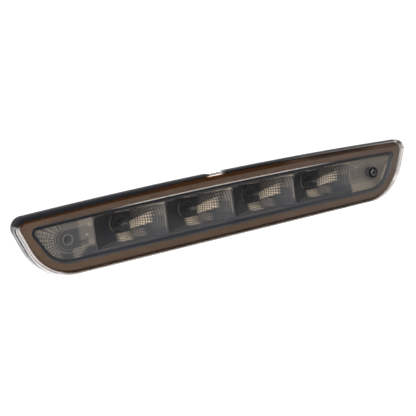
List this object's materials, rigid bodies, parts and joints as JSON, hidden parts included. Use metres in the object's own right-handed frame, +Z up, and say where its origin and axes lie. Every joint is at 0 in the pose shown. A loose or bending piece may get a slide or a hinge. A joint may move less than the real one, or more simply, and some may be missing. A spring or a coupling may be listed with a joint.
{
  "type": "third brake light",
  "caption": "High-mount vehicle brake lamp with a smoked lens, a row of bulb cells behind it and a washer jet in one end.",
  "frame": {"origin": "on the sheet-metal plane that the gasket seals against, midway between the two fixing studs", "axes": "+X along the lamp towards the washer jet, -Y out of the vehicle through the lens, +Z up"},
  "size_m": [0.384, 0.0528, 0.0573],
  "materials": {
    "smoked_lens": "smoked clear polycarbonate, glossy",
    "brown_trim": "fine-grained matte brown",
    "dark_frame": "smooth blue-black",
    "reflector": "vacuum-metallised, facetted",
    "housing_plastic": "moulded, fine texture",
    "sealant": "soft, matt",
    "foam": "closed-cell foam",
    "zinc_steel": "zinc-plated",
    "rubber": "moulded rubber",
    "membrane": "porous film",
    "brass": "stamped strip",
    "tin_brass": "tinned blade",
    "holder_plastic": "glass-filled nylon",
    "bulb_glass": "clear glass",
    "filament": "wire",
    "jet_plastic": "black acetal",
    "jet_nut_plastic": "black nylon",
    "poppet_plastic": "natural acetal",
    "spring_steel": "drawn wire"
  },
  "bodies": {
    "lamp": {"lens": "smoked_lens", "bezel": "brown_trim", "window_frame": "dark_frame", "reflector": "reflector", "housing": "housing_plastic", "lens_seal": "sealant", "panel_gasket": "foam", "stud_left": "zinc_steel", "stud_right": "zinc_steel", "reflector_screws": "zinc_steel", "vent_cap": "rubber", "vent_membrane": "membrane", "holder_seals": "rubber", "rail_feed": "brass", "rail_ground": "brass", "rail_rivets": "zinc_steel", "plug_pins": "tin_brass", "jet_body": "jet_plastic", "jet_seal": "rubber", "jet_nut": "jet_nut_plastic", "hose_nipple": "jet_nut_plastic", "check_spring": "spring_steel"},
    "holder_1": {"bulb_holder_1": "holder_plastic", "holder_contacts_1": "brass"},
    "bulb_1": {"bulb_1": "bulb_glass", "filament_1": "filament"},
    "holder_2": {"bulb_holder_2": "holder_plastic", "holder_contacts_2": "brass"},
    "bulb_2": {"bulb_2": "bulb_glass", "filament_2": "filament"},
    "holder_3": {"bulb_holder_3": "holder_plastic", "holder_contacts_3": "brass"},
    "bulb_3": {"bulb_3": "bulb_glass", "filament_3": "filament"},
    "holder_4": {"bulb_holder_4": "holder_plastic", "holder_contacts_4": "brass"},
    "bulb_4": {"bulb_4": "bulb_glass", "filament_4": "filament"},
    "jet_ball": {"jet_ball": "jet_plastic"},
    "check_poppet": {"check_poppet": "poppet_plastic"}
  },
  "joints": [
    {"name": "holder_1_twist", "type": "hinge", "parent": "lamp", "child": "holder_1", "pos_m": [-0.096, 0, 0], "axis": [0, 1, 0], "range_deg": [0, 45]},
    {"name": "bulb_1_pull", "type": "slide", "parent": "holder_1", "child": "bulb_1", "axis": [0, -1, 0], "range_m": [0, 0.0085]},
    {"name": "holder_2_twist", "type": "hinge", "parent": "lamp", "child": "holder_2", "pos_m": [-0.032, 0, 0], "axis": [0, 1, 0], "range_deg": [0, 45]},
    {"name": "bulb_2_pull", "type": "slide", "parent": "holder_2", "child": "bulb_2", "axis": [0, -1, 0], "range_m": [0, 0.0085]},
    {"name": "holder_3_twist", "type": "hinge", "parent": "lamp", "child": "holder_3", "pos_m": [0.032, 0, 0], "axis": [0, 1, 0], "range_deg": [0, 45]},
    {"name": "bulb_3_pull", "type": "slide", "parent": "holder_3", "child": "bulb_3", "axis": [0, -1, 0], "range_m": [0, 0.0085]},
    {"name": "holder_4_twist", "type": "hinge", "parent": "lamp", "child": "holder_4", "pos_m": [0.096, 0, 0], "axis": [0, 1, 0], "range_deg": [0, 45]},
    {"name": "bulb_4_pull", "type": "slide", "parent": "holder_4", "child": "bulb_4", "axis": [0, -1, 0], "range_m": [0, 0.0085]},
    {"name": "jet_ball_tilt", "type": "hinge", "parent": "lamp", "child": "jet_ball", "pos_m": [0.15, -0.0132, 0], "axis": [1, 0, 0], "range_deg": [-15, 15]},
    {"name": "check_poppet_lift", "type": "slide", "parent": "lamp", "child": "check_poppet", "axis": [0, -1, 0], "range_m": [0, 0.0015], "stiffness_N_per_m": 60, "springref_m": -0.001, "deforming": ["check_spring"]}
  ]
}
